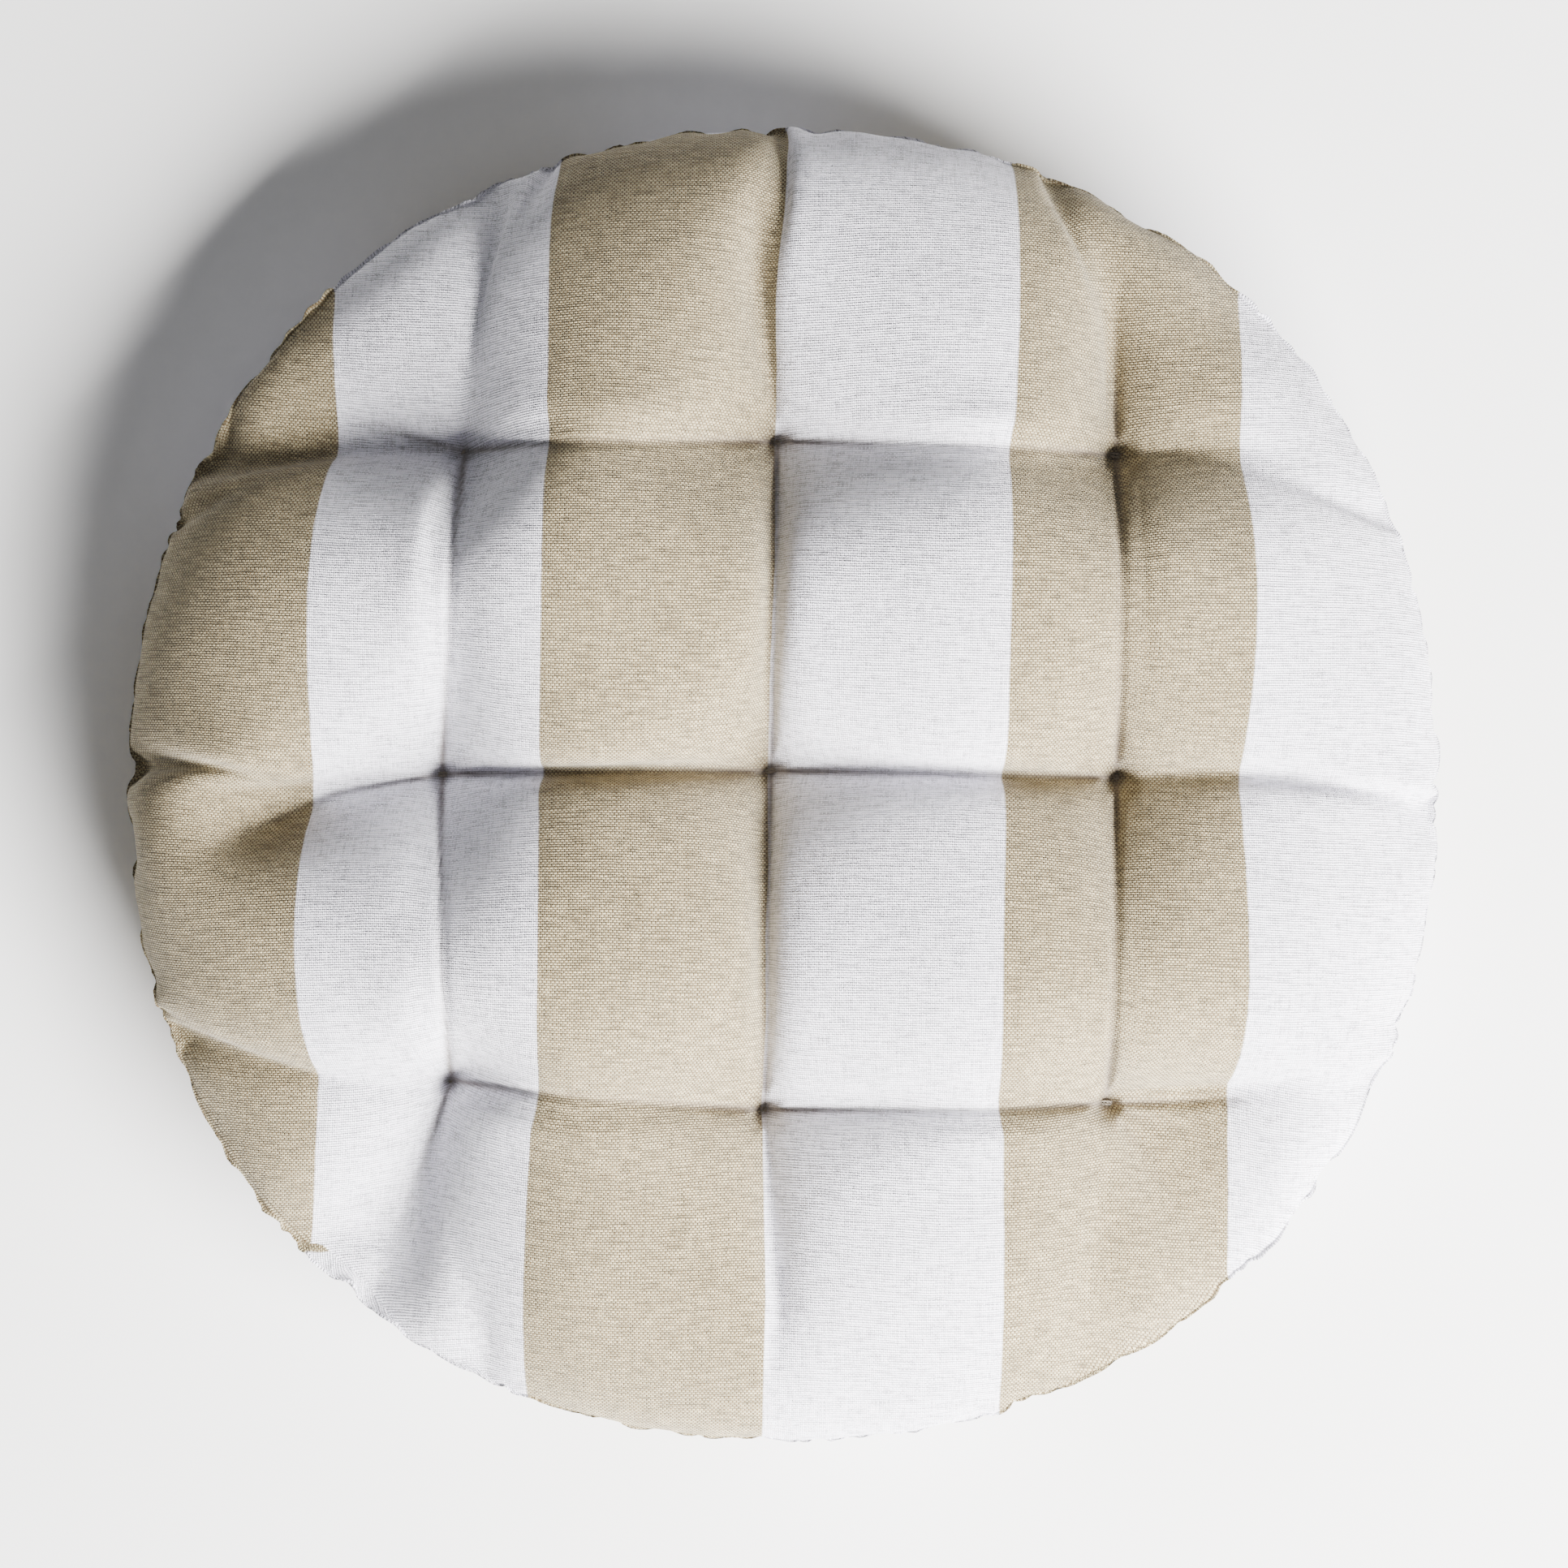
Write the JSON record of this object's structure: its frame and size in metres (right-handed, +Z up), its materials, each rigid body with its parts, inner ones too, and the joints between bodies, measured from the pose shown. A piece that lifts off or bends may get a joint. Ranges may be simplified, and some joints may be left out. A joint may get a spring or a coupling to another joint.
{
  "type": "chair seat pad",
  "caption": "Round tufted cushion for a chair seat: two sewn covers of striped cloth over a soft fibre filling, quilted into square pillows.",
  "frame": {"origin": "middle of the underside, on the plane that the pad rests on", "axes": "+Z up through the pad's thickness, +Y towards the back along the stripes, +X to the right across them"},
  "size_m": [0.4, 0.4, 0.08],
  "materials": {
    "striped_cloth": "plain-weave cotton, wide white and beige stripes",
    "filling": "loose white polyester fibre",
    "thread": "matte twisted sewing thread"
  },
  "bodies": {
    "root": {"top_cover": "striped_cloth", "bottom_cover": "striped_cloth", "fibre_filling": "filling", "edge_seam_thread": "thread", "closing_seam_thread": "thread", "tuft_thread_back_left": "thread", "tuft_thread_back_middle": "thread", "tuft_thread_back_right": "thread", "tuft_thread_middle_left": "thread", "tuft_thread_centre": "thread", "tuft_thread_middle_right": "thread", "tuft_thread_front_left": "thread", "tuft_thread_front_middle": "thread", "tuft_thread_front_right": "thread"}
  },
  "joints": []
}
